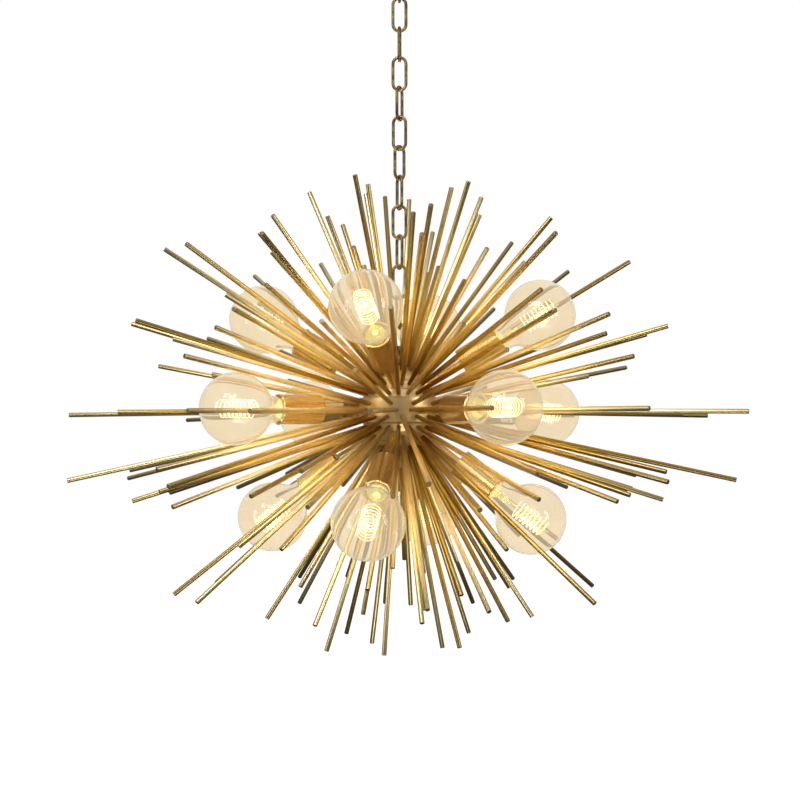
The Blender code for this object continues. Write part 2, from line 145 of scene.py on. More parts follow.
def coordinate(tree, kind, scale):
    """A texture coordinate (UV or Object), scaled by (x, y, z)."""
    source = tree.nodes.new("ShaderNodeTexCoord")
    mapping = tree.nodes.new("ShaderNodeMapping")
    mapping.inputs["Scale"].default_value = scale
    tree.links.new(source.outputs[kind], mapping.inputs["Vector"])
    return mapping.outputs["Vector"]


def noise(tree, vector, scale, detail=3.0, roughness=0.5):
    made = tree.nodes.new("ShaderNodeTexNoise")
    made.inputs["Scale"].default_value = scale
    made.inputs["Detail"].default_value = detail
    made.inputs["Roughness"].default_value = roughness
    tree.links.new(vector, made.inputs["Vector"])
    return made.outputs["Fac"]


def ramp(tree, factor, stops):
    """Colour ramp through (position, colour) stops."""
    made = tree.nodes.new("ShaderNodeValToRGB")
    band = made.color_ramp
    band.elements[0].position, band.elements[0].color = stops[0][0], (*stops[0][1], 1.0)
    band.elements[1].position, band.elements[1].color = stops[-1][0], (*stops[-1][1], 1.0)
    for position, colour in stops[1:-1]:
        band.elements.new(position).color = (*colour, 1.0)
    tree.links.new(factor, made.inputs["Fac"])
    return made.outputs["Color"]


def spread(tree, factor, low, high, from_low=0.3, from_high=0.7):
    """A factor mapped to the range low to high."""
    made = tree.nodes.new("ShaderNodeMapRange")
    made.inputs["From Min"].default_value = from_low
    made.inputs["From Max"].default_value = from_high
    made.inputs["To Min"].default_value = low
    made.inputs["To Max"].default_value = high
    tree.links.new(factor, made.inputs["Value"])
    return made.outputs["Result"]


def blended(tree, factor, first, second):
    """Two colours mixed; first, second and factor are sockets or plain values."""
    made = tree.nodes.new("ShaderNodeMix")
    made.data_type = "RGBA"
    for socket, value in ((made.inputs[0], factor), (made.inputs[6], first), (made.inputs[7], second)):
        if isinstance(value, bpy.types.NodeSocket):
            tree.links.new(value, socket)
        else:
            socket.default_value = value if isinstance(value, float) else (*value, 1.0)
    return made.outputs[2]


def bumped(tree, shader, height, strength, distance):
    made = tree.nodes.new("ShaderNodeBump")
    made.inputs["Strength"].default_value = strength
    made.inputs["Distance"].default_value = distance
    tree.links.new(height, made.inputs["Height"])
    tree.links.new(made.outputs["Normal"], shader.inputs["Normal"])


def attribute(tree, name):
    made = tree.nodes.new("ShaderNodeAttribute")
    made.attribute_name = name
    return made.outputs["Fac"]


# ---- materials -------------------------------------------------------------------------
def brushed_brass(name, light, mid, dark, grain_scale, rough_low, rough_high, bump=0.0, streak=0.18,
                  sorted_bars=False):
    """Brass brushed along u or v (grain_scale), with a slow drift of tone and small tarnish spots.
    Sorted bars each take their tone from the bar attribute, turn dark brown towards the root as painted
    shade where the rods crowd round the hub, and darker and greyer towards the tip as painted shade,
    standing in for the dim surroundings they reflect."""
    look, tree, shader = new_material(name, mid, (rough_low + rough_high) / 2, 1.0)
    grain = noise(tree, coordinate(tree, "UV", grain_scale), 1.0, 1.5, 0.6)
    drift = noise(tree, coordinate(tree, "UV", (0.6, 0.9, 1.0)), 1.0, 2.0)
    spots = noise(tree, coordinate(tree, "Object", (1, 1, 1)), 90.0, 1.5, 0.6)
    if sorted_bars:
        drift = blended(tree, 0.62, drift, attribute(tree, "bar"))
    tone = ramp(tree, drift, ((0.30, dark), (0.50, mid), (0.72, light)))
    if sorted_bars:
        # Painted shade: dark brown over the inner part of each rod, where the rods crowd round the hub.
        root_shade = spread(tree, attribute(tree, "root"), 0.0, 0.80, 0.72, 1.0)
        tone = blended(tree, root_shade, tone, (0.24, 0.11, 0.015))
        # Painted shade: darker, greyer brown towards each rod's tip, as if it reflected dim
        # surroundings.
        tip_shade = spread(tree, attribute(tree, "root"), 0.72, 0.0, 0.0, 0.38)
        tone = blended(tree, tip_shade, tone, (0.26, 0.21, 0.11))
    streaked = blended(tree, spread(tree, grain, 0.0, streak), tone, dark)
    tarnish = tuple(0.55 * c for c in dark)
    colour = blended(tree, spread(tree, spots, 0.0, 0.22, 0.55, 0.80), streaked, tarnish)
    tree.links.new(colour, shader.inputs["Base Color"])
    tree.links.new(spread(tree, grain, rough_low, rough_high), shader.inputs["Roughness"])
    if bump:
        bumped(tree, shader, grain, bump, 0.00006)
    return look


def sawn_brass():
    """Rod ends: darker, with faint concentric saw rings."""
    look, tree, shader = new_material("sawn_brass", (0.30, 0.20, 0.09), 0.5, 1.0)
    rings = tree.nodes.new("ShaderNodeTexWave")
    rings.wave_type = "BANDS"
    rings.bands_direction = "Y"
    rings.inputs["Scale"].default_value = 6.0
    rings.inputs["Distortion"].default_value = 3.0
    tree.links.new(coordinate(tree, "UV", (1, 40, 1)), rings.inputs["Vector"])
    colour = ramp(tree, rings.outputs["Fac"], ((0.2, (0.20, 0.13, 0.055)), (0.9, (0.36, 0.25, 0.11))))
    tree.links.new(colour, shader.inputs["Base Color"])
    tree.links.new(spread(tree, rings.outputs["Fac"], 0.42, 0.58), shader.inputs["Roughness"])
    return look


def antique_brass():
    """Chain metal: brown patina, rubbed bright where links meet."""
    look, tree, shader = new_material("antique_brass", (0.25, 0.19, 0.09), 0.45, 1.0)
    cloud = noise(tree, coordinate(tree, "Object", (1, 1, 1)), 95.0, 4.0, 0.6)
    fine = noise(tree, coordinate(tree, "Object", (1, 1, 1)), 700.0, 2.0)
    patina = ramp(tree, cloud, (
        (0.32, (0.075, 0.052, 0.022)), (0.50, (0.165, 0.12, 0.052)), (0.70, (0.34, 0.26, 0.11))))
    rubbed = blended(tree, attribute(tree, "wear"), patina, (0.62, 0.45, 0.20))
    tree.links.new(rubbed, shader.inputs["Base Color"])
    tree.links.new(spread(tree, cloud, 0.36, 0.54), shader.inputs["Roughness"])
    bumped(tree, shader, fine, 0.2, 0.00008)
    return look


def clear_glass():
    look, tree, shader = new_material("amber_glass", (0.71, 0.64, 0.53), 0.02)
    shader.inputs["Transmission Weight"].default_value = 1.0
    shader.inputs["IOR"].default_value = 1.28
    # The glass's own faint emission is a painted glow, standing in for filament light scattered in the
    # globe.
    shader.inputs["Emission Color"].default_value = (1.0, 0.91, 0.65, 1.0)
    shader.inputs["Emission Strength"].default_value = 0.12
    wave = noise(tree, coordinate(tree, "Object", (1, 1, 1)), 26.0, 2.0)
    bumped(tree, shader, wave, 0.05, 0.0010)
    tint = blended(tree, spread(tree, wave, 0.0, 1.0), (0.725, 0.655, 0.545), (0.695, 0.62, 0.51))
    tree.links.new(tint, shader.inputs["Base Color"])
    return look


def stem_glass():
    look, tree, shader = new_material("stem_glass", (0.84, 0.88, 0.56), 0.05)
    shader.inputs["Transmission Weight"].default_value = 1.0
    shader.inputs["IOR"].default_value = 1.45
    # The stem's yellow-green emission is a painted glow, standing in for the lit neck of the bulb.
    shader.inputs["Emission Color"].default_value = (0.78, 0.95, 0.38, 1.0)
    shader.inputs["Emission Strength"].default_value = 0.14
    streak = noise(tree, coordinate(tree, "Object", (1, 1, 1)), 60.0, 2.0)
    bumped(tree, shader, streak, 0.2, 0.0006)
    return look


def glowing_filament():
    look, tree, shader = new_material("glowing_filament", (1.0, 0.75, 0.4), 0.6)
    glow = noise(tree, coordinate(tree, "Object", (1, 1, 1)), 150.0, 2.0)
    colour = ramp(tree, glow, ((0.3, (1.0, 0.60, 0.24)), (0.7, (1.0, 0.74, 0.40))))
    tree.links.new(colour, shader.inputs["Base Color"])
    shader.inputs["Emission Color"].default_value = (1.0, 0.93, 0.70, 1.0)
    shader.inputs["Emission Strength"].default_value = 1.15
    return look


def speckled(name, first, second, roughness, metallic, scale, bump=0.1):
    """A material with a soft mottle between two tones."""
    look, tree, shader = new_material(name, first, roughness, metallic)
    mottle = noise(tree, coordinate(tree, "Object", (1, 1, 1)), scale, 4.0, 0.6)
    colour = blended(tree, spread(tree, mottle, 0.0, 1.0), first, second)
    tree.links.new(colour, shader.inputs["Base Color"])
    worn = spread(tree, mottle, roughness - 0.05, roughness + 0.08)
    tree.links.new(worn, shader.inputs["Roughness"])
    bumped(tree, shader, mottle, bump, 0.0001)
    return look


# ---- shape helpers ---------------------------------------------------------------------
def along(start, way):
    """Matrix that stands local +Z along way, with its origin at start."""
    return Matrix.Translation(start) @ way.to_track_quat("Z", "Y").to_matrix().to_4x4()


def rounded(points, radius, cuts=3):
    """A profile whose corners between its ends are rounded off."""
    out = [points[0]]
    for before, here, after in zip(points, points[1:], points[2:]):
        a, b, c = Vector(before), Vector(here), Vector(after)
        reach = min(radius, (a - b).length * 0.45, (c - b).length * 0.45)
        start, end = b + (a - b).normalized() * reach, b + (c - b).normalized() * reach
        for i in range(cuts + 1):
            t = i / cuts
            out.append(tuple(start * (1 - t) ** 2 + b * (2 * t * (1 - t)) + end * t * t))
    return out + [points[-1]]


def arc(centre, radius, first, last, cuts):
    """Points on a circle from first to last degrees, 0 along the radius axis and 90 up."""
    angles = [math.radians(first + (last - first) * i / cuts) for i in range(cuts + 1)]
    return [(centre[0] + radius * math.cos(a), centre[1] + radius * math.sin(a)) for a in angles]


def revolve(shape, profile, place, steps=ROUND_STEPS, closed=False, looks=None, shift=(0, 0)):
    """Turns a profile of (radius, height) points, listed down its outer side, about local Z.
    UVs are turns around and decimetres along, and looks gives a material index per stretch."""
    uv = shape.loops.layers.uv.verify()
    if closed:
        profile = [*profile, profile[0]]
    run = [0.0]
    for a, b in zip(profile, profile[1:]):
        run.append(run[-1] + math.dist(a, b) * 10)
    turns = [2 * math.pi * i / steps for i in range(steps)]
    rows = []
    for j, (r, z) in enumerate(profile):
        if closed and j == len(profile) - 1:
            rows.append(rows[0])
        elif r < 1e-6:
            rows.append([shape.verts.new(place @ Vector((0, 0, z)))] * steps)
        else:
            rows.append([
                shape.verts.new(place @ Vector((r * math.cos(t), r * math.sin(t), z))) for t in turns])
    for j in range(len(profile) - 1):
        for i in range(steps):
            k = (i + 1) % steps
            spots = ((rows[j][i], i, j), (rows[j + 1][i], i, j + 1),
                     (rows[j + 1][k], i + 1, j + 1), (rows[j][k], i + 1, j))
            kept = []
            for spot in spots:
                if spot[0] not in [other[0] for other in kept]:
                    kept.append(spot)
            if len(kept) < 3:
                continue
            face = shape.faces.new([spot[0] for spot in kept])
            face.smooth = True
            face.material_index = looks[j] if looks else 0
            for loop, (_, around, row) in zip(face.loops, kept):
                loop[uv].uv = (shift[0] + around / steps, shift[1] + run[row])


def sweep(shape, points, radius, sides=WIRE_STEPS, closed=False, wear=None, shift=0.0):
    """A round wire along points. radius and wear may be functions of the point's index."""
    uv = shape.loops.layers.uv.verify()
    worn = shape.verts.layers.float.get("wear") or shape.verts.layers.float.new("wear")
    count = len(points)
    ways = []
    for i in range(count):
        before = points[(i - 1) % count] if closed else points[max(i - 1, 0)]
        after = points[(i + 1) % count] if closed else points[min(i + 1, count - 1)]
        ways.append((after - before).normalized())
    side = ways[0].orthogonal().normalized()
    rings, run = [], [0.0]
    for i, (point, way) in enumerate(zip(points, ways)):
        side = (side - way * side.dot(way)).normalized()
        across = way.cross(side)
        size = radius(i) if callable(radius) else radius
        ring = []
        for k in range(sides):
            t = 2 * math.pi * k / sides
            spot = shape.verts.new(point + (side * math.cos(t) + across * math.sin(t)) * size)
            spot[worn] = wear(i) if wear else 0.0
            ring.append(spot)
        rings.append(ring)
        run.append(run[-1] + (points[(i + 1) % count] - point).length * 10)
    twist = 0
    if closed:
        start = rings[0][0].co - points[0]
        twist = max(range(sides), key=lambda k: (rings[-1][k].co - points[-1]).dot(start))
    stretches = count if closed else count - 1
    for i in range(stretches):
        far, turn = (rings[i + 1], 0) if i + 1 < count else (rings[0], twist)
        for k in range(sides):
            n = (k + 1) % sides
            face = shape.faces.new((
                rings[i][(k + turn) % sides], rings[i][(n + turn) % sides], far[n], far[k]))
            face.smooth = True
            corners = ((k, i), (k + 1, i), (k + 1, i + 1), (k, i + 1))
            for loop, (around, row) in zip(face.loops, corners):
                loop[uv].uv = (around / sides, shift + run[row])
    if not closed:
        shape.faces.new(rings[0][::-1])
        shape.faces.new(rings[-1])


def piece(name, shape, body, looks, nodes=(), sharp=32):
    """Makes a shown piece of a bmesh, which rides on a body and may stand for CAD nodes."""
    bmesh.ops.recalc_face_normals(shape, faces=shape.faces)
    mesh = bpy.data.meshes.new(name)
    shape.to_mesh(mesh)
    shape.free()
    for look in looks:
        mesh.materials.append(look)
    mesh.set_sharp_from_angle(angle=math.radians(sharp))
    made = bpy.data.objects.new(name, mesh)
    bpy.context.scene.collection.objects.link(made)
    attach(made, body)
    if nodes:
        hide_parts(*nodes)
    return made


# ---- reading the frame -----------------------------------------------------------------
def rods_of(node):
    """(root, tip) of every rod of a hub node. A rod's flat end is a small ring of points far from
    the hub, and long edges lead from it back to where the rod enters its hub ring."""
    mesh = frame["nodes"][node].data
    spots, index = [], {}
    for vertex in mesh.vertices:
        key = tuple(round(c, 5) for c in vertex.co)
        index.setdefault(key, len(index))
        if index[key] == len(spots):
            spots.append(vertex.co.copy())
    same = [index[tuple(round(c, 5) for c in v.co)] for v in mesh.vertices]
    near = {}
    for edge in mesh.edges:
        a, b = (same[i] for i in edge.vertices)
        if a != b:
            near.setdefault(a, set()).add(b)
            near.setdefault(b, set()).add(a)
    hub = Vector((0, 0, HUB_Z))
    far = {i for i, spot in enumerate(spots) if (spot - hub).length > TIP_REACH}
    rods = []
    while far:
        group, front = set(), [far.pop()]
        while front:
            i = front.pop()
            group.add(i)
            for j in near[i] & far:
                if (spots[i] - spots[j]).length < 2.2 * ROD_R:
                    far.discard(j)
                    front.append(j)
        ring = [spots[i] for i in sorted(group)]
        tip = sum(ring, Vector()) / len(ring)
        first = ring[0] - tip
        square = min(
            (spot - tip for spot in ring),
            key=lambda arm: abs(arm.normalized().dot(first.normalized())))
        way = first.cross(square).normalized()
        if way.dot(tip - hub) < 0:
            way = -way
        roots = [
            (tip - spots[j]).dot(way) for i in group for j in near[i]
            if j not in group and (spots[j] - tip).length > 0.05]
        rods.append((tip - way * max(roots), tip))
    return sorted(rods, key=lambda rod: tuple(rod[1]))


def local_span(node, place):
    """Lowest and highest point of a CAD node along a place's local Z."""
    back = place.inverted()
    heights = [(back @ v.co).z for v in frame["nodes"][node].data.vertices]
    return min(heights), max(heights)


def facing(node, low=-10.0, high=10.0):
    """Angle about Z, in radians, of the widest direction of a node's points between two heights."""
    spots = [v.co for v in frame["nodes"][node].data.vertices if low < v.co.z < high]
    xx = sum(p.x * p.x for p in spots)
    yy = sum(p.y * p.y for p in spots)
    xy = sum(p.x * p.y for p in spots)
    return 0.5 * math.atan2(2 * xy, xx - yy)


# ---- hub and rods ----------------------------------------------------------------------
def rod(shape, root, tip):
    """A straight round rod with a flat sawn end and a small eased edge."""
    length = (tip - root).length
    flat = ROD_R - ROD_EDGE
    profile = [(0, length), (flat, length), *arc((flat, length - ROD_EDGE), ROD_EDGE, 75, 0, 3)]
    profile += [(ROD_R, 0.0005), (0, 0.0005)]
    looks = [1, 1] + [0] * (len(profile) - 3)
    shift = (CHANCE.random() * 50, CHANCE.random() * 50)
    layers = shape.verts.layers.float
    bar = layers.get("bar") or layers.new("bar")
    near_root = layers.get("root") or layers.new("root")
    before = len(shape.verts)
    revolve(shape, profile, along(root, tip - root), ROD_STEPS, looks=looks, shift=shift)
    shape.verts.ensure_lookup_table()
    tone = CHANCE.random()
    for vertex in shape.verts[before:]:
        vertex[bar] = tone
        vertex[near_root] = 1 - (vertex.co - root).length / length


def hub_stage(node, profile, edge):
    """One turned piece of the hub, with its edges eased, and the rods that stand in it."""
    sign = -1 if node.startswith("lower") else 1
    solid = [(r, HUB_Z + sign * z) for r, z in profile]
    shape = bmesh.new()
    outline = rounded([*solid[1:], solid[0], solid[1]], edge)[1:]
    revolve(shape, outline, Matrix(), closed=True)
    piece(f"{node}_body", shape, "hub", [RING_LOOK], [node])
    shape = bmesh.new()
    for root, tip in rods_of(node):
        rod(shape, root, tip)
    piece(f"{node}_rods", shape, "hub", [ROD_LOOK, SAWN_LOOK], [node])


def stepped(heights, radii):
    """Profile of a ring that narrows away from the hub centre."""
    (near, far), (bore, near_r, far_r) = heights, radii
    return (bore, far), (far_r, far), (near_r, near), (bore, near)


def hub():
    """The drum, and two rings and a crown above and below it."""
    drum = stepped((-DRUM_HALF, DRUM_HALF), (DRUM_BORE_R, DRUM_R, DRUM_R))
    crown = ((STEM_BORE_R, CROWN[1]), *CROWN_DOME, (STEM_BORE_R, CROWN[0]))
    hub_stage("hub_drum", drum, 0.0022)
    for side in ("upper", "lower"):
        hub_stage(f"{side}_rod_ring_1", stepped(RING_1, RING_1_R), 0.0012)
        hub_stage(f"{side}_rod_ring_2", stepped(RING_2, RING_2_R), 0.0012)
        hub_stage(f"{side}_rod_crown", crown, 0.0030)


def finial():
    """Domed cap nut with a groove under its top edge."""
    top = HUB_Z - CROWN[1] - GAP
    outside = [(STEM_BORE_R, top), *((r, top - drop) for r, drop in FINIAL_OUTLINE)]
    inside = [(0, top - FINIAL_BORE), (STEM_BORE_R, top - FINIAL_BORE), (STEM_BORE_R, top)]
    shape = bmesh.new()
    revolve(shape, rounded(outside, 0.0008) + inside, Matrix())
    bmesh.ops.remove_doubles(shape, verts=shape.verts, dist=0.00001)
    piece("finial", shape, "finial", [RING_LOOK], ["finial_nut"])


# ---- lamps -----------------------------------------------------------------------------
def cup(label, place):
    """Arm tube and cup with a rolled lip. Local Z runs out of the mouth, which is at 0."""
    node = f"lamp_cup_{label}"
    root = local_span(node, place)[0]
    base, inner = -CUP_LENGTH, CUP_R - CUP_WALL
    lip = arc((LIP_R - LIP_BEAD_R, -LIP_BEAD_R), LIP_BEAD_R, 180, -55, 9)
    body = rounded([
        (CUP_R, -0.0030), (CUP_R, base), (ARM_R + 0.0016, base), (ARM_R, base - 0.0016),
        (ARM_R, root), (ARM_BORE_R, root), (ARM_BORE_R, base + CUP_WALL),
        (inner, base + CUP_WALL), (inner, -0.0034)], 0.0016)
    shape = bmesh.new()
    revolve(shape, lip + body, place, closed=True, shift=(CHANCE.random() * 9, CHANCE.random() * 9))
    piece(f"cup_{label}", shape, "hub", [CUP_LOOK], [node])


def holder(label, place):
    """Porcelain lampholder with a rounded rim."""
    floor = GLOBE_Z + GLOBE_R - BULB_LENGTH - GAP
    bottom = -CUP_LENGTH + CUP_WALL + GAP
    top = floor + CAP_LENGTH - 0.003
    socket = CAP_R + GAP
    wall, rim = socket + HOLDER_WALL, socket + HOLDER_RIM
    profile = rounded([
        (0, bottom), (wall, bottom), (wall, top - 0.007), (rim, top - 0.006), (rim, top),
        (socket, top), (socket, floor), (0, floor)], 0.0006, 2)
    shape = bmesh.new()
    revolve(shape, profile, place, 40)
    piece(f"holder_{label}", shape, "hub", [PORCELAIN_LOOK], [f"lampholder_{label}"])


def glass_outline(inset):
    """The globe's profile from its top to the neck's end, moved in by inset."""
    radius = GLOBE_R - inset
    sphere = arc((0, GLOBE_Z), radius, 90, GLOBE_END, 30)
    a = math.radians(GLOBE_END)
    start = Vector(sphere[-1])
    slide = Vector((math.sin(a), -math.cos(a)))
    ends = (start, start + slide * 0.012,
            Vector((0.0178 - inset, 0.0150)), Vector((NECK_R - inset, 0.0040)))
    neck = []
    for i in range(1, 13):
        t = i / 12
        weights = ((1 - t) ** 3, 3 * t * (1 - t) ** 2, 3 * t * t * (1 - t), t ** 3)
        neck.append(tuple(sum((w * p for w, p in zip(weights, ends)), Vector((0, 0)))))
    foot = [(0.0160 - inset, -0.0012), (0.0126 - inset, -0.0035)]
    return [(0, GLOBE_Z + radius), *sphere[1:], *neck, *foot]


def coil_point(t):
    """Point of the filament's spiral, with t from 0 at its low end to 1."""
    a = 2 * math.pi * COIL_TURNS * t
    return Vector((COIL_R * math.cos(a), COIL_R * math.sin(a), COIL_LOW + (COIL_HIGH - COIL_LOW) * t))


def bulb_cap(label, place, body):
    """Screw cap with a black insulator and an end contact."""
    end = GLOBE_Z + GLOBE_R - BULB_LENGTH
    top = end + CAP_LENGTH
    shell = [(0.0120, top + 0.0010), (CAP_R, top + 0.0010), (CAP_R, top - 0.0040)]
    for i in range(4 * THREAD_TURNS + 1):
        turn = i / 4
        groove = THREAD_DEPTH * (1 - math.cos(2 * math.pi * turn)) / 2
        shell.append((CAP_R - groove, top - 0.0045 - THREAD_SPACING * turn))
    low = shell[-1][1]
    shell += [(0.0115, low - 0.0012), (0.0112, low - 0.0016)]
    tip = [(0.0050, end + 0.0012), (0.0046, end + 0.0003), (0, end)]
    inside = [(0, top - 0.002), (0.0112, top - 0.002), (0.0112, top + 0.0010)]
    profile = shell + tip + inside
    looks = [0] * len(profile)
    looks[len(shell) - 1] = 1
    shape = bmesh.new()
    revolve(shape, profile, place, 48, closed=True, looks=looks)
    piece(f"bulb_{label}_cap", shape, body, [CAP_LOOK, INSULATOR_LOOK])


def bulb_stem(label, place, body):
    """Glass stem that widens into a foot inside the neck."""
    stem = [(0, COIL_HIGH + 0.006), (0.0010, COIL_HIGH + 0.005), (0.0010, PRESS + 0.006),
            (0.0030, PRESS + 0.001), (0.0036, PRESS - 0.006), (0.0034, 0.012), (0.0070, 0.0035),
            (0.0135, 0.0005), (0.0135, -0.0005), (0, -0.0005)]
    shape = bmesh.new()
    revolve(shape, rounded(stem, 0.003, 4), place, 24)
    piece(f"bulb_{label}_stem", shape, body, [STEM_LOOK])


def bulb_filament(label, place, body):
    steps = int(COIL_TURNS * 20)
    shape = bmesh.new()
    sweep(shape, [place @ coil_point(i / steps) for i in range(steps + 1)], COIL_WIRE_R, 8)
    spiral = piece(f"bulb_{label}_filament", shape, body, [FILAMENT_LOOK], sharp=80)
    spiral.visible_diffuse = spiral.visible_glossy = spiral.visible_shadow = False


def bulb_wires(label, place, body):
    """Two lead wires from the stem to the spiral's ends, and two rings of three hooks that hold it."""
    low_bend = Vector((COIL_R * 0.55, 0, PRESS + 0.005))
    high_bend = Vector((-LEAD_APART * 3.4, 0, COIL_HIGH - 0.012))
    shape = bmesh.new()
    for side, bend, end in (
            (LEAD_APART, low_bend, coil_point(0)), (-LEAD_APART, high_bend, coil_point(1))):
        foot = Vector((side, 0, PRESS))
        path = []
        for i in range(11):
            t = i / 10
            path.append(place @ (foot * (1 - t) ** 2 + bend * (2 * t * (1 - t)) + end * t * t))
        sweep(shape, path, LEAD_WIRE_R, 6)
    for height in (COIL_LOW + 0.013, COIL_HIGH - 0.013):
        for k in range(3):
            a = 2 * math.pi * (k / 3 + height * 9)
            arm = Vector((math.cos(a), math.sin(a), 0))
            middle = Vector((0, 0, height))
            spots = (
                middle, arm * (COIL_R * 0.6) + middle, arm * COIL_R + Vector((0, 0, height + 0.0005)))
            sweep(shape, [place @ p for p in spots], HOOK_WIRE_R, 5)
    piece(f"bulb_{label}_wires", shape, body, [WIRE_LOOK])


def bulb_light(label, place, body):
    """The lamp's own light, from the middle of its globe."""
    lamp = bpy.data.lights.new(f"lamp_{label}", "POINT")
    lamp.energy = LAMP_WATTS
    lamp.color = LAMP_COLOUR
    lamp.shadow_soft_size = 0.015
    source = bpy.data.objects.new(f"light_{label}", lamp)
    source.location = place @ Vector((0, 0, GLOBE_Z))
    source.visible_camera = source.visible_transmission = False
    bpy.context.scene.collection.objects.link(source)
    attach(source, body)


def bulb(label, place):
    """Globe lamp: glass, screw cap, stem, glowing spiral and its wires."""
    body, node = f"lamp_{label}", f"bulb_{label}"
    shape = bmesh.new()
    revolve(shape, glass_outline(0.0) + glass_outline(GLASS_THICK)[::-1], place)
    glass = piece(f"bulb_{label}_glass", shape, body, [GLASS_LOOK], [node])
    glass.visible_shadow = False
    bulb_cap(label, place, body)
    bulb_stem(label, place, body)
    bulb_filament(label, place, body)
    bulb_wires(label, place, body)
    bulb_light(label, place, body)


# ---- chain and ceiling fitting ---------------------------------------------------------
def oval_path(half_width, half_height, wire, turn, centre, bend_cuts=14, leg_cuts=8):
    """Centre line of an upright wire oval, as a closed list of points."""
    bend = half_width - wire
    straight = half_height - half_width
    flat = []
    for end in (1, -1):
        for i in range(bend_cuts + 1):
            a = math.pi * i / bend_cuts
            flat.append((end * bend * math.cos(a), end * (straight + bend * math.sin(a))))
        for i in range(1, leg_cuts):
            flat.append((-end * bend, end * straight * (1 - 2 * i / leg_cuts)))
    turned = Matrix.Rotation(turn, 3, "Z")
    return [turned @ Vector((x, 0, z)) + centre for x, z in flat]


def link_height(number):
    """Height of a link's middle."""
    low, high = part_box(f"chain_link_{number:02d}")
    return (low.z + high.z) / 2


def link(number):
    """Wire oval, slightly thinner at the seam in one leg, and rubbed bright in its bends."""
    node = f"chain_link_{number:02d}"
    centre = Vector((0, 0, link_height(number)))
    path = oval_path(LINK_HALF_WIDTH, LINK_HALF_HEIGHT, LINK_WIRE_R, facing(node), centre)
    bends = LINK_HALF_HEIGHT - LINK_HALF_WIDTH
    seam = min(range(len(path) // 2, len(path)), key=lambda i: (path[i] - centre).length)

    def wear(i):
        return max(0.0, (abs(path[i].z - centre.z) - bends) / LINK_HALF_WIDTH) ** 3

    def wire(i):
        return LINK_WIRE_R * (0.93 if i == seam else 1.0)

    shape = bmesh.new()
    sweep(shape, path, wire, closed=True, wear=wear, shift=CHANCE.random() * 40)
    piece(f"link_{number:02d}_wire", shape, f"link_{number:02d}", [CHAIN_LOOK], [node])


def eye(shape, wire, half_width, low, high, turn):
    """Adds a wire oval between two heights, rubbed bright at its ends."""
    centre = Vector((0, 0, (low + high) / 2))
    path = oval_path(half_width, (high - low) / 2, wire, turn, centre)

    def wear(i):
        return max(0.0, 1.0 - min(path[i].z - low, high - path[i].z) / 0.006) ** 2

    sweep(shape, path, wire, closed=True, wear=wear)


def hub_eye():
    """Eye on a turned shoulder, over the long stem that holds the hub together."""
    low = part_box("hub_loop")[0]
    top = HUB_Z + CROWN[1] + GAP
    outline = rounded([
        (0, top + 0.026), (0.0045, top + 0.026), (0.0062, top + 0.022), (0.0062, top + 0.014),
        (0.0054, top + 0.012), (0.0062, top + 0.010), (0.0062, top + 0.005), (0.0080, top + 0.004),
        (0.0080, top), (STEM_R, top), (STEM_R, low.z), (0, low.z)], 0.0009)
    shape = bmesh.new()
    shape.verts.layers.float.new("wear")
    revolve(shape, outline, Matrix(), 40)
    eye_low = top + 0.0215
    eye_high = link_height(LINK_COUNT) - LINK_INNER / 2 + GAP + 2 * HUB_EYE_WIRE_R
    turn = facing("hub_loop", top + SHOULDER_TOP)
    eye(shape, HUB_EYE_WIRE_R, HUB_EYE_HALF_WIDTH, eye_low, eye_high, turn)
    piece("hub_eye", shape, "hub", [CHAIN_LOOK], ["hub_loop"])


def canopy_eye():
    """Nipple, screw collar and eye that the chain hangs on."""
    eye_low = link_height(1) + LINK_INNER / 2 - GAP - 2 * EYE_WIRE_R
    collar_top = -BOSS_DROP - GAP
    outline = rounded([
        (0, NIPPLE_TOP), (STEM_R, NIPPLE_TOP), (STEM_R, collar_top), (COLLAR_R, collar_top),
        (COLLAR_R, COLLAR_END + 0.0015), (COLLAR_END_R, COLLAR_END), (0, COLLAR_END)], 0.0006)
    shape = bmesh.new()
    shape.verts.layers.float.new("wear")
    revolve(shape, outline, Matrix(), 48)
    turn = facing("canopy_loop", -1.0, COLLAR_END - 0.004)
    eye(shape, EYE_WIRE_R, EYE_HALF_WIDTH, eye_low, COLLAR_END + 0.0030, turn)
    piece("canopy_eye", shape, "ceiling_mount", [CHAIN_LOOK], ["canopy_loop"])


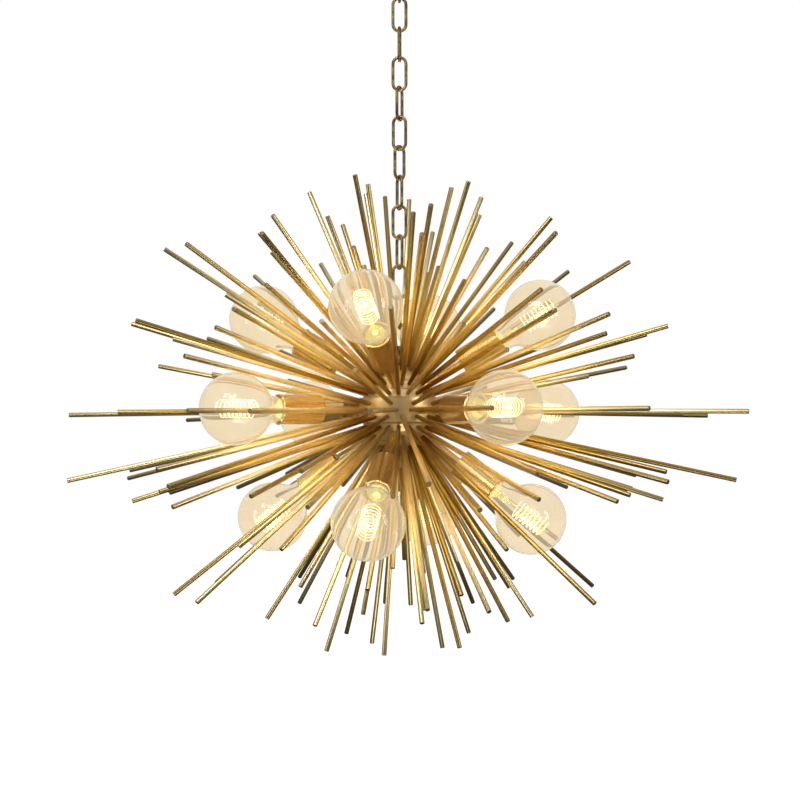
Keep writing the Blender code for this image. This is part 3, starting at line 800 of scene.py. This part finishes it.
def plate():
    """Zinc plated steel plate with a threaded boss and two screw slots."""
    outline = rounded([
        (0, 0), (PLATE_R, 0), (PLATE_R, -PLATE_THICK), (BOSS_R, -PLATE_THICK),
        (BOSS_R, -BOSS_DROP), (BOSS_BORE_R, -BOSS_DROP), (BOSS_BORE_R, -BOSS_FLOOR),
        (0, -BOSS_FLOOR)], 0.0005)
    shape = bmesh.new()
    revolve(shape, outline, Matrix(), 96)
    plate_piece = piece(
        "ceiling_plate", shape, "ceiling_mount", [STEEL_LOOK], ["mounting_plate"])
    cutter = bmesh.new()
    for side in (-1, 1):
        for x in (-1, 1):
            centre = (side * SCREW_SPACING / 2 + x * (SLOT_LENGTH - SLOT_WIDTH) / 2, 0, 0)
            bmesh.ops.create_cone(cutter, cap_ends=True, segments=32, radius1=SLOT_WIDTH / 2,
                                  radius2=SLOT_WIDTH / 2, depth=0.02, matrix=Matrix.Translation(centre))
        size = Matrix.Diagonal((SLOT_LENGTH - SLOT_WIDTH, SLOT_WIDTH, 0.019, 1))
        bmesh.ops.create_cube(
            cutter, size=1, matrix=Matrix.Translation((side * SCREW_SPACING / 2, 0, 0)) @ size)
    mesh = bpy.data.meshes.new("plate_slots")
    cutter.to_mesh(mesh)
    cutter.free()
    slots = bpy.data.objects.new("plate_slots", mesh)
    bpy.context.scene.collection.objects.link(slots)
    cut = plate_piece.modifiers.new("slots", "BOOLEAN")
    cut.object, cut.operation, cut.solver, cut.use_self = slots, "DIFFERENCE", "EXACT", True
    seen = plate_piece.evaluated_get(bpy.context.evaluated_depsgraph_get())
    mesh = bpy.data.meshes.new_from_object(seen)
    plate_piece.modifiers.clear()
    plate_piece.data = mesh
    bpy.data.objects.remove(slots)


def canopy():
    """Thin spun dome over the plate."""
    outside = [
        (CANOPY_R - CANOPY_WALL, -GAP), (CANOPY_R, -GAP), (CANOPY_R, -0.008), (0.0620, -0.0160),
        (0.0540, -0.0235), (0.0400, -0.0295), (0.0230, -CANOPY_DEPTH), (CANOPY_HOLE_R, -CANOPY_DEPTH)]
    inside = [(r - CANOPY_WALL * 0.7, z + CANOPY_WALL * 0.7) for r, z in outside[2:-2]]
    inside += [(0.0226, CANOPY_WALL - CANOPY_DEPTH), (CANOPY_HOLE_R, CANOPY_WALL - CANOPY_DEPTH)]
    shape = bmesh.new()
    outline = [outside[0], *rounded(outside[1:], 0.005, 6), *rounded(inside[::-1], 0.005, 6)]
    revolve(shape, outline, Matrix(), 128, closed=True)
    piece("canopy_cover", shape, "canopy", [CANOPY_LOOK], ["canopy_shell"])


def lock_ring():
    """Knurled ring that screws onto the collar and holds the canopy up."""
    top = -CANOPY_DEPTH - GAP
    low = top - 0.008
    ring = [(0.0172, top), (0.0185, top - 0.0012), (0.0185, low + 0.0012), (0.0172, low),
            (0.0123, low), (0.0123, top)]
    shape = bmesh.new()
    revolve(shape, ring, Matrix(), 96, closed=True)
    for vertex in shape.verts:
        reach = math.hypot(vertex.co.x, vertex.co.y)
        if reach > 0.018:
            turn = math.atan2(vertex.co.y, vertex.co.x)
            groove = KNURL_DEPTH * (1 - math.cos(KNURLS * turn)) / 2
            vertex.co.x *= 1 - groove / reach
            vertex.co.y *= 1 - groove / reach
    piece("lock_ring_knurled", shape, "lock_ring", [CANOPY_LOOK], ["canopy_lock_ring"])


# ---- stage -----------------------------------------------------------------------------
def floor():
    """Plain white floor far under the light."""
    shape = bmesh.new()
    bmesh.ops.create_circle(
        shape, cap_ends=True, segments=96, radius=FLOOR_R, matrix=Matrix.Translation((0, 0, FLOOR_Z)))
    mesh = bpy.data.meshes.new("floor")
    shape.to_mesh(mesh)
    shape.free()
    look, _, shader = new_material("floor_white", (0.15, 0.15, 0.15), 0.8)
    shader.inputs["Emission Color"].default_value = (1, 1, 1, 1)
    shader.inputs["Emission Strength"].default_value = 0.95
    mesh.materials.append(look)
    made = bpy.data.objects.new("floor", mesh)
    bpy.context.scene.collection.objects.link(made)
    made.visible_diffuse = made.visible_glossy = made.visible_shadow = False


def studio():
    """White backdrop for the camera, and a dimmer studio round the object, lighter from above."""
    world = bpy.data.worlds.new("studio")
    bpy.context.scene.world = world
    world.use_nodes = True
    tree = world.node_tree
    tree.nodes.clear()
    source = tree.nodes.new("ShaderNodeTexCoord")
    parts = tree.nodes.new("ShaderNodeSeparateXYZ")
    tree.links.new(source.outputs["Generated"], parts.inputs[0])
    height = spread(tree, parts.outputs["Z"], 0.0, 1.0, -1.0, 1.0)
    room = ramp(tree, height, STUDIO_STOPS)
    around = tree.nodes.new("ShaderNodeBackground")
    tree.links.new(room, around.inputs["Color"])
    backdrop = tree.nodes.new("ShaderNodeBackground")
    backdrop.inputs["Color"].default_value = (1, 1, 1, 1)
    path = tree.nodes.new("ShaderNodeLightPath")
    either = tree.nodes.new("ShaderNodeMath")
    either.operation = "MAXIMUM"
    tree.links.new(path.outputs["Is Camera Ray"], either.inputs[0])
    tree.links.new(path.outputs["Is Transmission Ray"], either.inputs[1])
    both = tree.nodes.new("ShaderNodeMixShader")
    tree.links.new(either.outputs[0], both.inputs[0])
    tree.links.new(around.outputs[0], both.inputs[1])
    tree.links.new(backdrop.outputs[0], both.inputs[2])
    out = tree.nodes.new("ShaderNodeOutputWorld")
    tree.links.new(both.outputs[0], out.inputs["Surface"])


def softbox(name, place, wide, tall, watts):
    """Rectangular light aimed at the hub."""
    light = bpy.data.lights.new(name, "AREA")
    light.shape, light.size, light.size_y, light.energy = "RECTANGLE", wide, tall, watts
    made = bpy.data.objects.new(name, light)
    made.matrix_world = Matrix.Translation(place) @ (
        Vector((0, 0, HUB_Z)) - Vector(place)).to_track_quat("-Z", "Y").to_matrix().to_4x4()
    bpy.context.scene.collection.objects.link(made)


def camera():
    data = bpy.data.cameras.new("camera")
    data.lens, data.sensor_width = CAMERA_LENS, CAMERA_SENSOR
    data.clip_start, data.clip_end = 0.05, 300.0
    made = bpy.data.objects.new("camera", data)
    made.location = CAMERA_PLACE
    made.rotation_euler = (math.radians(90 + CAMERA_PITCH), 0, 0)
    bpy.context.scene.collection.objects.link(made)
    bpy.context.scene.camera = made


bpy.context.scene.view_settings.view_transform = "Standard"
camera()
studio()
floor()
for box in SOFTBOXES:
    softbox(*box)

ROD_LOOK = brushed_brass(
    "rod_brass", (1.0, 0.80, 0.38), (0.88, 0.61, 0.17), (0.36, 0.205, 0.025), (9.0, 1.2, 1.0),
    0.28, 0.31, streak=0.14, sorted_bars=True)
SAWN_LOOK = sawn_brass()
RING_LOOK = brushed_brass(
    "ring_brass", (0.90, 0.70, 0.36), (0.80, 0.60, 0.28), (0.62, 0.43, 0.17), (2.0, 60.0, 1.0),
    0.34, 0.44, bump=0.08)
# The cup's wide bands of darker brass along its length, set by its grain scale and streak, are painted
# reflection bands.
CUP_LOOK = brushed_brass(
    "cup_brass", (1.0, 0.82, 0.45), (0.95, 0.70, 0.29), (0.66, 0.43, 0.12), (5.0, 0.15, 1.0),
    0.24, 0.30, streak=0.40)
CANOPY_LOOK = brushed_brass(
    "canopy_brass", (0.86, 0.66, 0.33), (0.78, 0.57, 0.25), (0.64, 0.44, 0.17), (2.0, 80.0, 1.0),
    0.24, 0.36, bump=0.12)
CHAIN_LOOK = antique_brass()
STEEL_LOOK = speckled("zinc_steel", (0.62, 0.63, 0.64), (0.50, 0.51, 0.53), 0.38, 1.0, 120.0)
# The porcelain's dim yellow-green tint is painted light: the glow through the lamp's glass stem, not
# the holder's own white.
PORCELAIN_LOOK = speckled("porcelain", (0.74, 0.74, 0.60), (0.68, 0.67, 0.52), 0.25, 0.0, 60.0, 0.05)
CAP_LOOK = speckled("cap_brass", (0.74, 0.58, 0.30), (0.62, 0.46, 0.22), 0.28, 1.0, 180.0)
INSULATOR_LOOK = speckled("cap_insulator", (0.02, 0.02, 0.022), (0.035, 0.03, 0.03), 0.2, 0.0, 90.0)
WIRE_LOOK = speckled("lead_wire", (0.66, 0.62, 0.55), (0.50, 0.46, 0.40), 0.35, 1.0, 300.0)
GLASS_LOOK = clear_glass()
STEM_LOOK = stem_glass()
FILAMENT_LOOK = glowing_filament()

plate()
canopy()
lock_ring()
canopy_eye()
for n in range(1, LINK_COUNT + 1):
    link(n)
hub_eye()
hub()
finial()
for joint in frame["joints"]:
    if joint["child"].startswith("lamp_"):
        tag = joint["child"].removeprefix("lamp_")
        spot = along(Vector(joint["pos_m"]), Vector(joint["axis"]))
        cup(tag, spot)
        holder(tag, spot)
        bulb(tag, spot)
